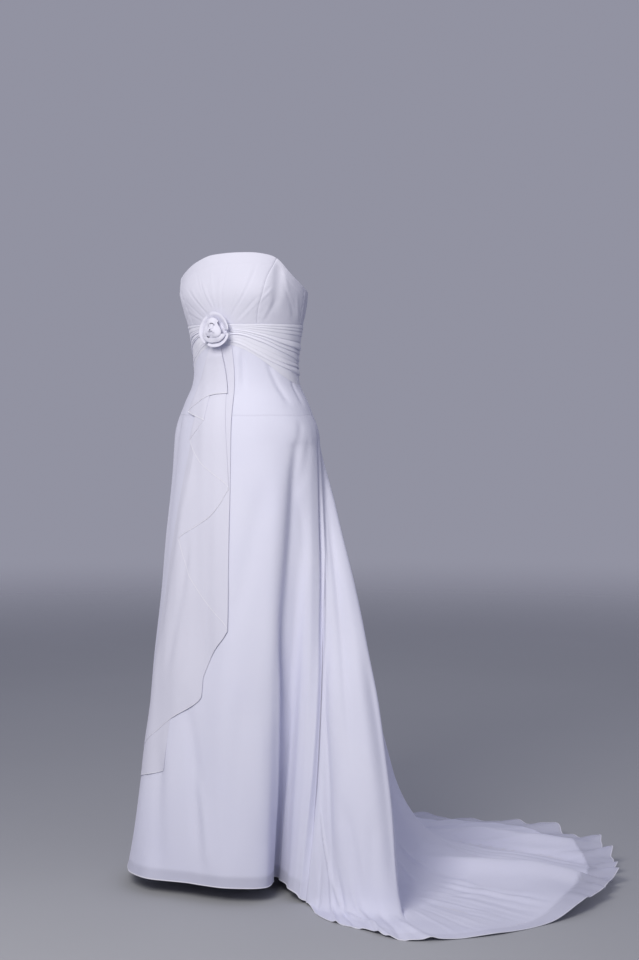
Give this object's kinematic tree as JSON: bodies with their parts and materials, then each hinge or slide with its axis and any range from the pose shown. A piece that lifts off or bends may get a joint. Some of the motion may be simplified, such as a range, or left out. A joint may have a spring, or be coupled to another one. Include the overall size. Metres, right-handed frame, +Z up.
{
  "type": "bridesmaid dress",
  "caption": "Strapless floor-length chiffon gown with a pleated midriff, fabric rose, waterfall panel and swept train, in hollow worn form.",
  "frame": {"origin": "middle of the bodice's hollow at the underbust seam, where the fitted bodice grips the wearer, 1.212 m above the floor that the train lies on", "axes": "+Z up along the wearer's body, -Y the way the wearer faces, +X to the wearer's left, the side that the train is swept to"},
  "size_m": [1.0127, 0.9451, 1.3681],
  "materials": {
    "chiffon": "soft matte chiffon, sheer at the hem border",
    "lining": "smooth opaque lining, faint sheen",
    "rose": "soft matte",
    "zip": "enamelled in the cloth's colour"
  },
  "bodies": {
    "gown": {"bodice_front": "chiffon", "bodice_side_front_left": "chiffon", "bodice_side_front_right": "chiffon", "bodice_back_left": "chiffon", "bodice_back_right": "chiffon", "midriff_front_left": "chiffon", "midriff_front_right": "chiffon", "midriff_back_left": "chiffon", "midriff_back_right": "chiffon", "skirt_front": "chiffon", "skirt_back_left": "chiffon", "skirt_back_right": "chiffon", "lining_front": "lining", "lining_back_left": "lining", "lining_back_right": "lining", "waterfall_panel": "chiffon", "rose_base": "rose", "rose_bud": "rose", "rose_petal_1": "rose", "rose_petal_2": "rose", "rose_petal_3": "rose", "rose_petal_4": "rose", "rose_petal_5": "rose", "rose_petal_6": "rose", "rose_petal_7": "rose", "rose_petal_8": "rose", "zip_slider": "zip"},
    "zip_pull": {"zip_pull": "zip"}
  },
  "joints": [
    {"name": "zip_pull_swing", "type": "hinge", "parent": "gown", "child": "zip_pull", "pos_m": [0, 0.10251, 0.044], "axis": [1, 0, 0], "range_deg": [0, 150]}
  ]
}
